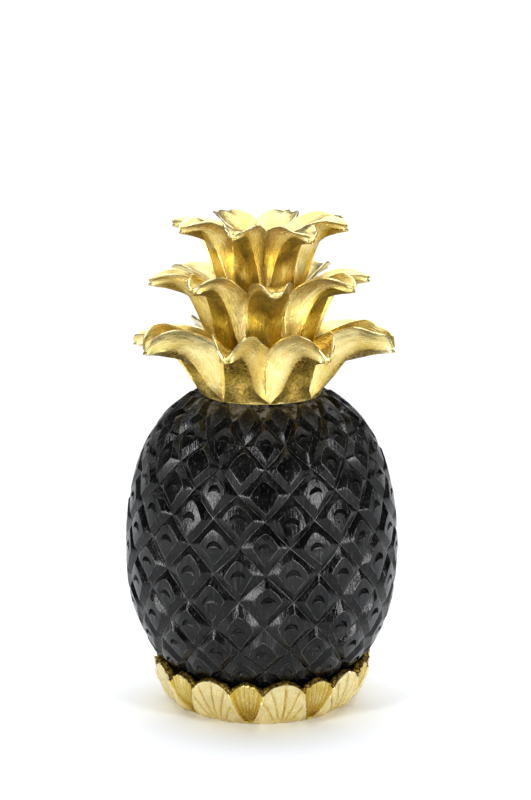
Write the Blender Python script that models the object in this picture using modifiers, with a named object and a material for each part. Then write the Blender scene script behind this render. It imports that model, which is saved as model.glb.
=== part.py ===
# Decorative pineapple, about 24 cm tall: a black fruit carved in a lattice of diamonds,
# a gold crown of three tiers of curling leaves, and a gold cup of leaves as its foot.
# Metres, +Z up. The origin is on the ground, at the middle of the pineapple's outline.

import bpy
import bmesh
from math import cos, sin, pi, radians
from mathutils import Vector

MM = 0.001

# Fruit: outline of the groove bottoms as (radius, height), from foot to shoulder, in mm
FRUIT_OUTLINE = [(31.0, 10.3), (36.6, 13.6), (43.6, 20.6), (51.8, 30.2), (58.4, 43.5), (62.0, 58.0),
                 (63.4, 75.0), (62.8, 92.0), (59.9, 110.0), (54.5, 125.8), (46.3, 138.7), (37.2, 146.9),
                 (29.5, 151.4), (20.0, 151.9)]
FRUIT_FOOT_Z = 10.3 * MM
FRUIT_TOP_Z = 151.9 * MM
OUTLINE_STEPS = 400
CELLS_AROUND = 16
LATTICE_TURN = radians(-9.55)
WIDEST_Z = 66.0 * MM
HALF_ROW_MIDDLE = 13.3 * MM
HALF_ROW_END = 11.6 * MM
ROWS_TO_END = 6.0
ROWS_BELOW = 5
ROWS_ABOVE = 7

# One diamond of the lattice, in half-widths and half-heights of the diamond
FLAT_SIDE = 0.53
FLAT_TOP = 0.60
FLAT_FOOT = 0.66
FLAT_HEIGHT = 2.2 * MM
# Corners of the crescent gouge: its two horns, its outer arc, its inner arc and its deepest point
HORN_LEFT, HORN_RIGHT = (-0.31, 0.0), (0.31, 0.0)
OUTER_LEFT, OUTER_RIGHT = (-0.17, 0.27), (0.17, 0.27)
INNER_LEFT, INNER_RIGHT = (-0.11, 0.12), (0.11, 0.12)
DEEPEST = (0.0, 0.20)
CRESCENT_DEPTH = 1.3 * MM
SHOULDER_FADE_RADIUS = (30.0 * MM, 37.0 * MM)
FOOT_FADE_Z = (15.0 * MM, 30.0 * MM)

# Crown: azimuth of each leaf's tip in degrees (0 faces the front, -Y), its reach in mm,
# how far it stands above the rest of its tier, how far its end droops, and how much of it is a trough
LOW_LEAVES = [(-60, 63, 0.0, 0.0, 0.0), (-18, 54, -1.0, 0.0, 0.0), (30, 61, 0.0, 0.0, 0.0),
              (74, 65, 0.0, 1.6, 0.0), (118, 63, -6.8, 0.0, 0.2), (163, 62, -7.0, 0.0, 0.5),
              (209, 66, -7.2, 0.0, 0.0), (258, 63, -6.8, 1.0, 0.0)]
MID_LEAVES = [(-80, 54, -1.4, 0.0, 0.0), (-39, 51, 0.8, 0.0, 0.0), (8, 48, -0.4, 0.0, 1.0),
              (53.5, 53.5, -0.4, 0.0, 0.0), (96, 52, -3.2, 0.0, 0.0), (142, 51, -2.5, 0.0, 0.3),
              (187, 53, -3.0, 0.0, 0.6), (232, 54, -2.7, 0.0, 0.0)]
TOP_LEAVES = [(-62, 43, -0.4, 0.3, 0.0), (-17.5, 44, -0.5, 0.3, 0.0), (28.5, 49, -0.8, 1.0, 0.2),
              (75, 42, -0.8, 0.3, 0.0), (117, 43, -2.2, 0.0, 0.3), (161.5, 43, -3.2, 0.0, 0.0),
              (207, 46, -3.2, 0.0, 0.5), (257, 43.5, -3.3, 0.0, 0.0)]

# Each tier: foot radius and height, notch radius and height, crest, tip, half-width of a leaf, in mm
TIERS = {
    "low": dict(leaves=LOW_LEAVES, half=12.0, foot=(28.8, 152.5), notch=(31.0, 178.5),
                crest=188.3, tip=176.5),
    "mid": dict(leaves=MID_LEAVES, half=10.5, foot=(23.0, 172.0), notch=(24.5, 202.5),
                crest=212.4, tip=205.8),
    "top": dict(leaves=TOP_LEAVES, half=9.5, foot=(18.5, 199.0), notch=(19.0, 229.8),
                crest=238.0, tip=231.8),
}

# Lines of a leaf at its eight stations from foot to tip. Middle of its outside and of its inside:
# share of the run outwards, mm outwards, share of the rise to the tip, mm upwards
CENTRE_LINE = [(0.0, 0.0, 0.0, 0.0), (0.0, 0.9, 0.30, 0.0), (0.0, 3.0, 0.60, 0.0), (0.24, 2.0, 0.83, -2.0),
               (0.48, 0.6, 1.0, -3.7), (0.74, 0.0, 1.0, -1.5), (0.92, 0.0, 1.0, -0.6), (1.0, 0.0, 1.0, 0.0)]
INSIDE_LINE = [(0.0, -4.6, 0.0, 0.0), (0.0, -5.1, 0.30, 0.0), (0.0, -3.0, 0.60, 1.2),
               (0.24, -2.4, 0.83, 3.7), (0.48, -0.6, 1.0, 2.4), (0.74, 0.0, 1.0, 3.8),
               (0.92, 0.1, 1.0, 3.3), (1.0, -0.2, 1.0, 3.1)]
# Crease between the hollow middle and the flank: share of the run, share of the half-width,
# share of the rise, mm upwards
CREASE_LINE = [(0.10, 0.62, 0.28, 0.0), (0.23, 0.56, 0.56, 0.0), (0.39, 0.48, 0.85, 0.0),
               (0.58, 0.42, 1.0, 0.8), (0.78, 0.36, 1.0, 1.4), (0.93, 0.25, 1.0, 0.6),
               (0.99, 0.11, 1.0, 0.4)]
# Free part of the margin: share of the run, share of the half-width, share of the fall from crest to tip
MARGIN_LINE = [(0.52, 0.88, 0.06), (0.77, 0.65, 0.08), (0.93, 0.40, 0.42)]
MARGIN_START = (3.5, 0.42)
MARGIN_END = (0.4, 1.5, 2.2)
DROOP_AT_THIRD_LAST = 1.5
TIP_LIFT_SHARE = 0.4
FOOT_CREASE_SHARE = 0.86
TROUGH_REACH = [0.88, 0.88, 0.85, 0.65, 0.35, 0.05, 0.0, 0.0]
FREE_STATION = 3
NOTCH_STATION = 2.3
WALL_THICKNESS = 4.0
EDGE_THICKNESS = 1.6
EDGE_LEAN = (0.5, 0.3)

# How far each side of a leaf reaches past its neighbour, in degrees, and how deep it is tucked, in mm
OVER_SIDE = (2.0, 0.5)
UNDER_SIDE = (6.0, 3.2)
CROWN_STUB = [(0.0, 222.0), (9.0, 222.0), (15.5, 219.0), (17.0, 204.0), (20.5, 198.0), (21.5, 178.0),
              (26.0, 172.0), (27.4, 154.6), (28.3, 153.4), (28.3, 152.2), (0.0, 152.2)]
STUB_STEPS = 24
JOIN_TOLERANCE = 0.02 * MM

# Leaf cup: outline of its outside as (radius, height), and its rim and wall, in mm
CUP_OUTLINE = [(39.5, 0.0), (43.4, 2.2), (46.8, 6.0), (49.6, 12.0), (51.2, 18.6)]
CUP_WALL = 3.0
CUP_FLOOR = (34.0, 10.0)
CUP_INSIDE = (44.2, 14.2)
LEAF_PAIRS = 9
SMALL_LEAF_AZIMUTH = -8.0
RIM_NOTCH_Z = 19.8
BROAD_PEAK_Z = 23.9
SMALL_PEAK_Z = 23.3
SMALL_LEAF_SHARE = 0.44
CUP_COLUMNS_PER_PAIR = 8
BROAD_BULGE = 0.9
SMALL_RECESS = 1.3
RIM_FLARE = 0.4
LEAF_ARCH_POWER = 1.6


def smoothstep(low, high, value):
    """Rises from 0 at low to 1 at high with flat ends."""
    t = min(max((value - low) / (high - low), 0.0), 1.0)
    return t * t * (3.0 - 2.0 * t)


def curve_through(points, t):
    """Point at t (0 to 1) on a Catmull-Rom curve through points of any dimension."""
    spans = len(points) - 1
    position = min(max(t, 0.0), 1.0) * spans
    k = min(int(position), spans - 1)
    f = position - k
    p1, p2 = points[k], points[k + 1]
    p0 = points[k - 1] if k > 0 else [2.0 * a - b for a, b in zip(p1, p2)]
    p3 = points[k + 2] if k + 2 <= spans else [2.0 * b - a for a, b in zip(p1, p2)]
    return [0.5 * (2.0 * b + (c - a) * f + (2.0 * a - 5.0 * b + 4.0 * c - d) * f * f
                   + (3.0 * b - a - 3.0 * c + d) * f ** 3) for a, b, c, d in zip(p0, p1, p2, p3)]


def make_material(name, colour, roughness, metallic):
    material = bpy.data.materials.new(name)
    material.use_nodes = True
    shader = material.node_tree.nodes["Principled BSDF"]
    shader.inputs["Base Color"].default_value = (*colour, 1.0)
    shader.inputs["Roughness"].default_value = roughness
    shader.inputs["Metallic"].default_value = metallic
    return material


def make_object(name, mesh_builder, collection):
    """Object whose mesh is what a bmesh holds, with its faces turned outwards."""
    bmesh.ops.recalc_face_normals(mesh_builder, faces=mesh_builder.faces)
    mesh = bpy.data.meshes.new(name)
    mesh_builder.to_mesh(mesh)
    mesh_builder.free()
    made = bpy.data.objects.new(name, mesh)
    collection.objects.link(made)
    return made


def loft(mesh_builder, sections):
    """Skins closed sections of equal count one after the other and caps both ends."""
    rings = [[mesh_builder.verts.new(point) for point in section] for section in sections]
    count = len(rings[0])
    for lower, upper in zip(rings, rings[1:]):
        for k in range(count):
            following = (k + 1) % count
            mesh_builder.faces.new((lower[k], lower[following], upper[following], upper[k]))
    mesh_builder.faces.new(rings[0][::-1])
    mesh_builder.faces.new(rings[-1])


class FruitSurface:
    """Maps a place in the lattice (columns around, rows up) and a relief height to a point."""

    def __init__(self):
        self.walk = [Vector((r * MM, z * MM)) for r, z in
                     (curve_through(FRUIT_OUTLINE, k / OUTLINE_STEPS) for k in range(OUTLINE_STEPS + 1))]
        self.lengths = [0.0]
        for a, b in zip(self.walk, self.walk[1:]):
            self.lengths.append(self.lengths[-1] + (b - a).length)
        middle = min(range(OUTLINE_STEPS + 1), key=lambda k: abs(self.walk[k].y - WIDEST_Z))
        self.middle_length = self.lengths[middle]

    def length_at(self, row):
        """Distance along the outline of a row counted from the widest place."""
        share = min(abs(row) / ROWS_TO_END, 1.0)
        spacing = HALF_ROW_MIDDLE + (HALF_ROW_END - HALF_ROW_MIDDLE) * share * 0.5
        return self.middle_length + row * spacing

    def point(self, column, row, height):
        length = min(max(self.length_at(row), 0.0), self.lengths[-1])
        k = 0
        while k < len(self.lengths) - 2 and self.lengths[k + 1] < length:
            k += 1
        f = (length - self.lengths[k]) / (self.lengths[k + 1] - self.lengths[k])
        place = self.walk[k].lerp(self.walk[k + 1], f)
        along = (self.walk[k + 1] - self.walk[k]).normalized()
        outward = Vector((along.y, -along.x))
        faded = height * smoothstep(*SHOULDER_FADE_RADIUS, place.x) * smoothstep(*FOOT_FADE_Z, place.y)
        place = place + outward * faded
        angle = column * pi / CELLS_AROUND + LATTICE_TURN
        return Vector((place.x * sin(angle), -place.x * cos(angle), place.y))


def add_cell(mesh_builder, surface, crossings, column, row, gouged):
    """One diamond: four bevels up from the grooves to a flat top, with its crescent."""
    def corner(dx, dy):
        return crossings[((column + dx) % (2 * CELLS_AROUND), row + dy)]

    def vertex(place, height):
        return mesh_builder.verts.new(surface.point(column + place[0], row + place[1], height))

    left, top, right, foot = corner(-1, 0), corner(0, 1), corner(1, 0), corner(0, -1)
    flat_left = vertex((-FLAT_SIDE, 0.0), FLAT_HEIGHT)
    flat_top = vertex((0.0, FLAT_TOP), FLAT_HEIGHT)
    flat_right = vertex((FLAT_SIDE, 0.0), FLAT_HEIGHT)
    flat_foot = vertex((0.0, -FLAT_FOOT), FLAT_HEIGHT)
    new_face = mesh_builder.faces.new
    new_face((left, flat_left, flat_top, top))
    new_face((top, flat_top, flat_right, right))
    new_face((right, flat_right, flat_foot, foot))
    new_face((foot, flat_foot, flat_left, left))
    if not gouged:
        new_face((flat_left, flat_foot, flat_right, flat_top))
        return
    horn_left, horn_right = vertex(HORN_LEFT, FLAT_HEIGHT), vertex(HORN_RIGHT, FLAT_HEIGHT)
    outer_left, outer_right = vertex(OUTER_LEFT, FLAT_HEIGHT), vertex(OUTER_RIGHT, FLAT_HEIGHT)
    inner_left, inner_right = vertex(INNER_LEFT, FLAT_HEIGHT), vertex(INNER_RIGHT, FLAT_HEIGHT)
    deepest = vertex(DEEPEST, FLAT_HEIGHT - CRESCENT_DEPTH)
    new_face((flat_left, outer_left, flat_top))
    new_face((flat_left, horn_left, outer_left))
    new_face((flat_top, outer_left, outer_right))
    new_face((flat_top, outer_right, flat_right))
    new_face((flat_right, outer_right, horn_right))
    rim = [flat_left, horn_left, inner_left, inner_right, horn_right, flat_right]
    for a, b in zip(rim, rim[1:]):
        new_face((a, flat_foot, b))
    crescent = [horn_left, inner_left, inner_right, horn_right, outer_right, outer_left]
    for k, a in enumerate(crescent):
        new_face((a, crescent[(k + 1) % len(crescent)], deepest))


def build_fruit(collection, material):
    """Black barrel with its lattice of diamonds, flat at the foot and under the crown."""
    surface = FruitSurface()
    mesh_builder = bmesh.new()
    columns = 2 * CELLS_AROUND
    first, last = -ROWS_BELOW, ROWS_ABOVE
    crossings = {}
    for row in range(first - 1, last + 2):
        for column in range(columns):
            if (column + row) % 2 == 0:
                crossings[(column, row)] = mesh_builder.verts.new(surface.point(column, row, 0.0))
    for row in range(first, last + 1):
        for column in range(columns):
            if (column + row) % 2 == 1:
                add_cell(mesh_builder, surface, crossings, column, row, first + 1 < row < last)
    close_end(mesh_builder, crossings, first - 1, first, FRUIT_FOOT_Z)
    close_end(mesh_builder, crossings, last + 1, last, FRUIT_TOP_Z)
    fruit = make_object("fruit_body", mesh_builder, collection)
    fruit.data.materials.append(material)
    return fruit


def close_end(mesh_builder, crossings, end_row, inner_row, level):
    """Fills the notches between the last diamonds and closes the end with a flat disc."""
    columns = 2 * CELLS_AROUND
    ring = [crossings[(c, end_row)] for c in range(columns) if (c + end_row) % 2 == 0]
    starts = [c for c in range(columns) if (c + end_row) % 2 == 0]
    for k, column in enumerate(starts):
        between = crossings[((column + 1) % columns, inner_row)]
        mesh_builder.faces.new((ring[k], between, ring[(k + 1) % len(ring)]))
    for vertex in ring:
        vertex.co.z = level
    mesh_builder.faces.new(ring)


def leaf_lines(tier, leaf):
    """Lines of a leaf as (reach, height) and (reach, width, height), from foot to tip, in mm."""
    _, reach, lift, droop, _ = leaf
    foot_r, foot_z = tier["foot"]
    notch_r, notch_z = tier["notch"]
    half = tier["half"]
    crest = tier["crest"] + lift
    tip = tier["tip"] + TIP_LIFT_SHARE * lift - droop
    rise, run, fall = tip - foot_z, reach - foot_r, crest - tip
    centre = [(foot_r + a * run + b, foot_z + c * rise + d) for a, b, c, d in CENTRE_LINE]
    inside = [(foot_r + a * run + b, foot_z + c * rise + d) for a, b, c, d in INSIDE_LINE]
    crease = [(foot_r + a * run, b * half, foot_z + c * rise + d) for a, b, c, d in CREASE_LINE]
    start_out, start_share = MARGIN_START
    margin = [(notch_r + start_out, half, notch_z + start_share * (crest - notch_z))]
    margin += [(foot_r + a * run, b * half, crest - c * fall) for a, b, c in MARGIN_LINE]
    end_in, end_width, end_up = MARGIN_END
    margin.append((reach - end_in, end_width, tip + end_up))
    out, width, height = margin[2]
    margin[2] = (out, width, height - DROOP_AT_THIRD_LAST * droop)
    return centre, crease, margin, inside


def half_section(tier, lines, half_angle, tuck, station, trough):
    """Outer crease, outer margin and inner margin of one side of a leaf."""
    foot_r, foot_z = tier["foot"]
    notch_r, notch_z = tier["notch"]
    if station < FREE_STATION:
        share = station / NOTCH_STATION
        radius = foot_r + (notch_r - foot_r) * share - tuck
        inner_radius = radius - WALL_THICKNESS
        height = foot_z + (notch_z - foot_z) * share
        outer = (radius * cos(half_angle), radius * sin(half_angle), height)
        inner = (inner_radius * cos(half_angle), inner_radius * sin(half_angle), height)
    else:
        outer = lines[2][station - FREE_STATION]
        thickness = min(EDGE_THICKNESS, 0.6 * outer[1])
        inner = (outer[0] - EDGE_LEAN[0], outer[1] - thickness, outer[2] + EDGE_LEAN[1])
    if station == 0:
        crease_angle = FOOT_CREASE_SHARE * half_angle
        middle = (foot_r * cos(crease_angle), foot_r * sin(crease_angle), foot_z)
    else:
        middle = lines[1][station - 1]
    moved = trough * TROUGH_REACH[station]
    middle = [a + (b - a) * moved for a, b in zip(middle, outer)]
    return middle, outer, inner


def build_leaf(tier, leaf, left_gap, right_gap):
    """A keeled leaf: it rises from the stub, curls outwards, and has raised side edges."""
    azimuth, trough = radians(leaf[0]), leaf[4]
    outward = Vector((sin(azimuth), -cos(azimuth), 0.0))
    sideways = Vector((cos(azimuth), sin(azimuth), 0.0))

    def place(point, side):
        r, w, z = point
        return (outward * r + sideways * (w * side) + Vector((0.0, 0.0, z))) * MM

    left_angle = radians(0.5 * left_gap + OVER_SIDE[0])
    right_angle = radians(0.5 * right_gap + UNDER_SIDE[0])
    lines = leaf_lines(tier, leaf)
    centre, inner_centre = lines[0], lines[3]
    sections = []
    for station in range(len(centre)):
        right = half_section(tier, lines, right_angle, UNDER_SIDE[1], station, trough)
        left = half_section(tier, lines, left_angle, OVER_SIDE[1], station, trough)
        section = [place((centre[station][0], 0.0, centre[station][1]), 1)]
        section += [place(point, 1) for point in right]
        section.append(place((inner_centre[station][0], 0.0, inner_centre[station][1]), 1))
        section += [place(point, -1) for point in reversed(left)]
        sections.append(section)
    mesh_builder = bmesh.new()
    loft(mesh_builder, sections)
    bmesh.ops.triangulate(mesh_builder, faces=mesh_builder.faces)
    return mesh_builder


def build_crown(collection, cutters, material):
    """Stub of the crown with three tiers of eight leaves joined to it as one body."""
    profile = bpy.data.meshes.new("crown_stub_profile")
    points = [(r * MM, 0.0, z * MM) for r, z in CROWN_STUB]
    profile.from_pydata(points, [(k, k + 1) for k in range(len(points) - 1)], [])
    crown = bpy.data.objects.new("leaf_crown", profile)
    collection.objects.link(crown)
    screw = crown.modifiers.new("turned stub", "SCREW")
    screw.steps = STUB_STEPS
    screw.render_steps = STUB_STEPS
    screw.use_merge_vertices = True
    screw.merge_threshold = 0.00001
    for tier in TIERS.values():
        leaves = tier["leaves"]
        for k, leaf in enumerate(leaves):
            before = (leaf[0] - leaves[k - 1][0]) % 360
            after = (leaves[(k + 1) % len(leaves)][0] - leaf[0]) % 360
            cutters.append(build_leaf(tier, leaf, before, after))
    crown.data.materials.append(material)
    return crown


def join_leaves(crown, leaf_builders, cutter_collection):
    """Unites every leaf with the stub."""
    for k, builder in enumerate(leaf_builders):
        leaf = make_object(f"leaf_{k:02d}", builder, cutter_collection)
        leaf.hide_render = True
        leaf.display_type = "WIRE"
    union = crown.modifiers.new("leaves", "BOOLEAN")
    union.operation = "UNION"
    union.operand_type = "COLLECTION"
    union.collection = cutter_collection
    union.solver = "EXACT"
    weld = crown.modifiers.new("close joins", "WELD")
    weld.merge_threshold = JOIN_TOLERANCE


def cup_column(turn):
    """Outside, rim and inside of the cup at one place of a leaf pair, as (radius, height) in mm."""
    small = turn < SMALL_LEAF_SHARE
    if small:
        across = 2.0 * turn / SMALL_LEAF_SHARE - 1.0
        peak = SMALL_PEAK_Z
    else:
        across = 2.0 * (turn - SMALL_LEAF_SHARE) / (1.0 - SMALL_LEAF_SHARE) - 1.0
        peak = BROAD_PEAK_Z
    rim_z = RIM_NOTCH_Z + (peak - RIM_NOTCH_Z) * (1.0 - abs(across) ** LEAF_ARCH_POWER)
    bulge = 1.0 - across * across
    column = []
    last = len(CUP_OUTLINE) - 1
    for k, (radius, height) in enumerate(CUP_OUTLINE):
        up = k / last
        relief = -SMALL_RECESS * bulge * (1.0 - up) if small else BROAD_BULGE * bulge
        relief = relief * smoothstep(0.0, 0.4, up)
        column.append((radius + relief, height + (rim_z - RIM_NOTCH_Z) * up))
    rim_radius = column[-1][0] + RIM_FLARE
    column.append((rim_radius, rim_z))
    column.append((rim_radius - CUP_WALL, rim_z))
    return column + [CUP_INSIDE, CUP_FLOOR]


def build_cup(collection, material):
    """Low flared cup of broad and small leaves in turn, with a solid flat foot."""
    mesh_builder = bmesh.new()
    columns = []
    total = LEAF_PAIRS * CUP_COLUMNS_PER_PAIR
    start = radians(SMALL_LEAF_AZIMUTH) - pi * SMALL_LEAF_SHARE / LEAF_PAIRS
    for k in range(total):
        angle = start + 2.0 * pi * k / total
        turn = (k % CUP_COLUMNS_PER_PAIR) / CUP_COLUMNS_PER_PAIR
        columns.append([mesh_builder.verts.new((r * MM * sin(angle), -r * MM * cos(angle), z * MM))
                        for r, z in cup_column(turn)])
    for k, column in enumerate(columns):
        following = columns[(k + 1) % total]
        for a in range(len(column) - 1):
            mesh_builder.faces.new((column[a], following[a], following[a + 1], column[a + 1]))
    mesh_builder.faces.new([column[0] for column in columns])
    mesh_builder.faces.new([column[-1] for column in columns])
    cup = make_object("leaf_cup", mesh_builder, collection)
    cup.data.materials.append(material)
    return cup


def main():
    for existing in list(bpy.data.objects):
        bpy.data.objects.remove(existing, do_unlink=True)
    parts = bpy.data.collections.new("decorative_pineapple")
    cutters = bpy.data.collections.new("crown_leaves_before_union")
    bpy.context.scene.collection.children.link(parts)
    bpy.context.scene.collection.children.link(cutters)
    gold = make_material("gold paint", (0.72, 0.56, 0.22), 0.38, 0.9)
    black = make_material("black lacquer", (0.012, 0.012, 0.013), 0.25, 0.0)
    build_cup(parts, gold)
    build_fruit(parts, black)
    leaf_builders = []
    crown = build_crown(parts, leaf_builders, gold)
    join_leaves(crown, leaf_builders, cutters)


main()
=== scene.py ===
"""Looks of the decorative pineapple: a black lacquered fruit carved in diamonds, a crown of
three tiers of gold leaves, and a gold cup of leaves as its foot.

Lengths are millimetres while a surface is worked out, and metres once it is a mesh."""

from math import cos, sin, pi, radians

import bmesh
import bpy
import numpy as np
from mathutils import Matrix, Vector, noise
from mathutils.geometry import delaunay_2d_cdt


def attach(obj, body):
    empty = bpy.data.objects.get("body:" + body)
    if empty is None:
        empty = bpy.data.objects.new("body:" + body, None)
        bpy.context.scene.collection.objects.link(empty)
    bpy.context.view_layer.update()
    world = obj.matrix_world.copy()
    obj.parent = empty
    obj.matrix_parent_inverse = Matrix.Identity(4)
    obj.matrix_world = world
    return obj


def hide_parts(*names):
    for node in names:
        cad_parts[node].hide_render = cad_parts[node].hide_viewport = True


MM = 0.001
FRONT = -pi / 2.0

# Camera, as fitted to the photograph: place in mm, pitch below the horizon, and focal length
CAMERA_PLACE = (1.86, -1250.0, 420.2)
CAMERA_PITCH = 12.27
CAMERA_FOCAL = 120.96
CAMERA_SENSOR = 36.0

# Fruit: outline of the groove bottoms as (radius, height), from foot to shoulder
FRUIT_OUTLINE = [(31.0, 10.3), (36.6, 13.6), (43.6, 20.6), (51.8, 30.2), (58.4, 43.5), (62.0, 58.0),
                 (63.4, 75.0), (62.8, 92.0), (59.9, 110.0), (54.5, 125.8), (46.3, 138.7), (37.2, 146.9),
                 (29.5, 151.4), (20.0, 151.9)]
OUTLINE_STEPS = 2000
CELLS_AROUND = 16
LATTICE_TURN = radians(-9.55)
WIDEST_Z = 66.0
HALF_ROW_MIDDLE = 13.3
HALF_ROW_END = 11.6
ROWS_TO_END = 6.0
ROWS_BELOW = 5
ROWS_ABOVE = 7
SHOULDER_FADE_RADIUS = (28.6, 33.5)
FOOT_FADE_Z = (15.0, 30.0)
# Slow waves that make the lattice wander: size in half-cells, waves around, turn for each row, and phase
COLUMN_WAVES = [(0.045, 3.0, 1.3, 0.0), (0.035, 7.0, -2.1, 0.0)]
ROW_WAVES = [(0.045, 5.0, 0.7, 0.0), (0.035, 8.0, 2.4, 1.0)]

# One diamond of the lattice, in half-widths and half-heights of the diamond, and heights in mm
FLAT_SIDE = 0.53
FLAT_TOP = 0.60
FLAT_FOOT = 0.66
FLAT_HEIGHT = 2.05
BORDER_STEPS = 10
BEVEL_LEVELS = [(0.0, 0.0), (0.05, 0.02), (0.12, 0.09), (0.5, 0.475), (0.88, 0.875), (0.95, 0.95),
                (1.0, 0.99)]
RIDGE_INSET = 0.95
# How much grey painted highlight each ring of points up a bevel gets, from the groove to the flat inside the
# ridge
RING_HIGHLIGHT = [1.0, 0.0, 0.0, 0.0, 0.0, 0.1, 0.85, 0.1]
CRESCENT_HALF_WIDTH = 0.29
CRESCENT_HORN = -0.08
# Arched lines of the gouge from its outer edge inwards: height of the arch's top above the middle of
# the diamond, share of the gouge's depth, and share of its width
CRESCENT_ARCS = [(0.235, 0.0, 1.0), (0.185, 1.0, 0.95), (0.08, 0.55, 0.86), (0.035, 0.0, 0.80),
                 (0.0, -0.07, 0.74), (-0.04, 0.0, 0.66)]
CRESCENT_STEPS = 10
CRESCENT_DEPTH = 1.45
# Loose points over the flat: half-width and half-height of their grid, its step, how much of the flat
# they cover, and how clear they stay of the gouge
FILLING_REACH = (0.36, 0.42)
FILLING_STEP = 0.12
FILLING_SHARE = 0.72
FILLING_CLEARANCE = (0.05, 0.06)
# Spread of the twelve random numbers that set a diamond apart: place of its flat (2), the flat's width,
# height and turn, the gouge's size and place (2), tilt in mm (2), rise, and the gouge's depth
CELL_SPREAD = np.array([0.022, 0.022, 0.045, 0.05, 0.08, 0.10, 0.02, 0.02, 0.30, 0.30, 0.05, 0.15])
RELIEF_LIMITS = (-0.3, 2.2)
RELIEF_SINK = 0.06
# Unevenness of a surface: height in mm, size of its lumps in mm, and seed
FRUIT_LUMPS = [(0.10, 6.0, 1), (0.05, 1.8, 2)]

# Crown: azimuth of each leaf's tip in degrees (0 faces the front, -Y), its reach in mm,
# how far it stands above the rest of its tier, how far its end droops, and how much of it is a trough
LOW_LEAVES = [(-60, 63, 0.0, 0.0, 0.0), (-18, 54, -1.0, 0.0, 0.0), (30, 61, 0.0, 0.0, 0.0),
              (74, 65, 0.0, 1.6, 0.0), (118, 63, -6.8, 0.0, 0.2), (163, 62, -7.0, 0.0, 0.5),
              (209, 66, -7.2, 0.0, 0.0), (258, 63, -6.8, 1.0, 0.0)]
MID_LEAVES = [(-80, 54, -1.4, 0.0, 0.0), (-39, 51, 0.8, 0.0, 0.0), (8, 48, -2.0, -0.6, 1.0),
              (53.5, 53.5, -0.4, 0.0, 0.0), (96, 52, -3.2, 0.0, 0.0), (142, 51, -2.5, 0.0, 0.3),
              (187, 53, -3.0, 0.0, 0.6), (232, 54, -2.7, 0.0, 0.0)]
TOP_LEAVES = [(-62, 43, -0.4, 0.3, 0.0), (-17.5, 44, -0.5, 0.3, 0.0), (28.5, 49, -0.8, 1.0, 0.2),
              (75, 42, -0.8, 0.3, 0.0), (117, 43, -2.2, 0.0, 0.3), (161.5, 43, -3.2, 0.0, 0.0),
              (207, 46, -3.2, 0.0, 0.5), (257, 43.5, -3.3, 0.0, 0.0)]
# Each tier: foot radius and height, notch radius and height, crest, tip and half-width of a leaf, in mm,
# then how much brown painted shade its recesses get under the tip and at the foot, where along the leaf
# the painted shade under the tip sets in, and how much ochre painted shade the recesses get at the foot
TIERS = {
    "low": dict(leaves=LOW_LEAVES, half=12.0, foot=(28.8, 152.5), notch=(31.0, 178.5), crest=188.3,
                tip=176.5, tip_brown_shade=1.05, foot_brown_shade=0.72, tip_shade_start=0.10, foot_ochre_shade=0.35),
    "mid": dict(leaves=MID_LEAVES, half=10.5, foot=(23.0, 172.0), notch=(24.5, 202.5), crest=212.4,
                tip=205.8, tip_brown_shade=0.75, foot_brown_shade=0.1, tip_shade_start=0.20, foot_ochre_shade=0.65),
    "top": dict(leaves=TOP_LEAVES, half=9.5, foot=(18.5, 199.0), notch=(19.0, 229.8), crest=237.4,
                tip=231.8, tip_brown_shade=0.5, foot_brown_shade=0.05, tip_shade_start=0.20, foot_ochre_shade=0.25),
}
# Lines of a leaf at its eight stations from foot to tip. Middle of its outside and of its inside:
# share of the run outwards, mm outwards, share of the rise to the tip, mm upwards
CENTRE_LINE = [(0.0, 0.0, 0.0, 0.0), (0.0, 0.9, 0.30, 0.0), (0.0, 3.0, 0.60, 0.0), (0.24, 2.0, 0.83, -2.0),
               (0.48, 0.6, 1.0, -3.7), (0.74, 0.0, 1.0, -1.5), (0.92, 0.0, 1.0, -0.6), (1.0, 0.0, 1.0, 0.0)]
INSIDE_LINE = [(0.0, -4.6, 0.0, 0.0), (0.0, -5.1, 0.30, 0.0), (0.0, -3.0, 0.60, 1.2),
               (0.24, -2.4, 0.83, 3.7), (0.48, -0.6, 1.0, 2.4), (0.74, 0.0, 1.0, 3.8),
               (0.92, 0.1, 1.0, 3.3), (1.0, -0.2, 1.0, 3.1)]
# Crease between the hollow middle and the flank: share of the run, share of the half-width,
# share of the rise, mm upwards
CREASE_LINE = [(0.10, 0.62, 0.28, 0.0), (0.23, 0.56, 0.56, 0.0), (0.39, 0.48, 0.85, 0.0),
               (0.58, 0.42, 1.0, 0.8), (0.78, 0.36, 1.0, 1.4), (0.93, 0.25, 1.0, 0.6),
               (0.99, 0.11, 1.0, 0.4)]
# Free part of the margin: share of the run, share of the half-width, share of the fall from crest to tip
MARGIN_LINE = [(0.52, 0.88, 0.06), (0.77, 0.65, 0.08), (0.93, 0.40, 0.42)]
MARGIN_START = (3.5, 0.42)
MARGIN_END = (0.4, 1.5, 2.2)
DROOP_AT_THIRD_LAST = 1.5
TIP_LIFT_SHARE = 0.4
FOOT_CREASE_SHARE = 0.86
TROUGH_REACH = [0.88, 0.88, 0.85, 0.65, 0.35, 0.05, 0.0, 0.0]
NOTCH_STATION = 2.3
EDGE_THICKNESS = 1.2
EDGE_LEAN = (0.5, 0.3)
OVER_SIDE = (2.0, 0.5)
UNDER_SIDE = (6.0, 3.2)
WALL_THICKNESS = 4.0
FREE_STATION = 3
CROWN_STUB = [(0.0, 222.0), (9.0, 222.0), (15.5, 219.0), (17.0, 204.0), (20.5, 198.0), (21.5, 178.0),
              (26.0, 172.0), (27.4, 154.6), (28.3, 153.4), (28.3, 152.2), (0.0, 152.2)]
STUB_STEPS = 120
LEAF_STATIONS = 42
ACROSS_RECESS = 6
ACROSS_FLANK = 10
ACROSS_EDGE = 4
ACROSS_INSIDE = 9
# The four faces on each side of a leaf's section, from the middle of its outside
RECESS, FLANK, EDGE, INSIDE = range(4)
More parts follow.
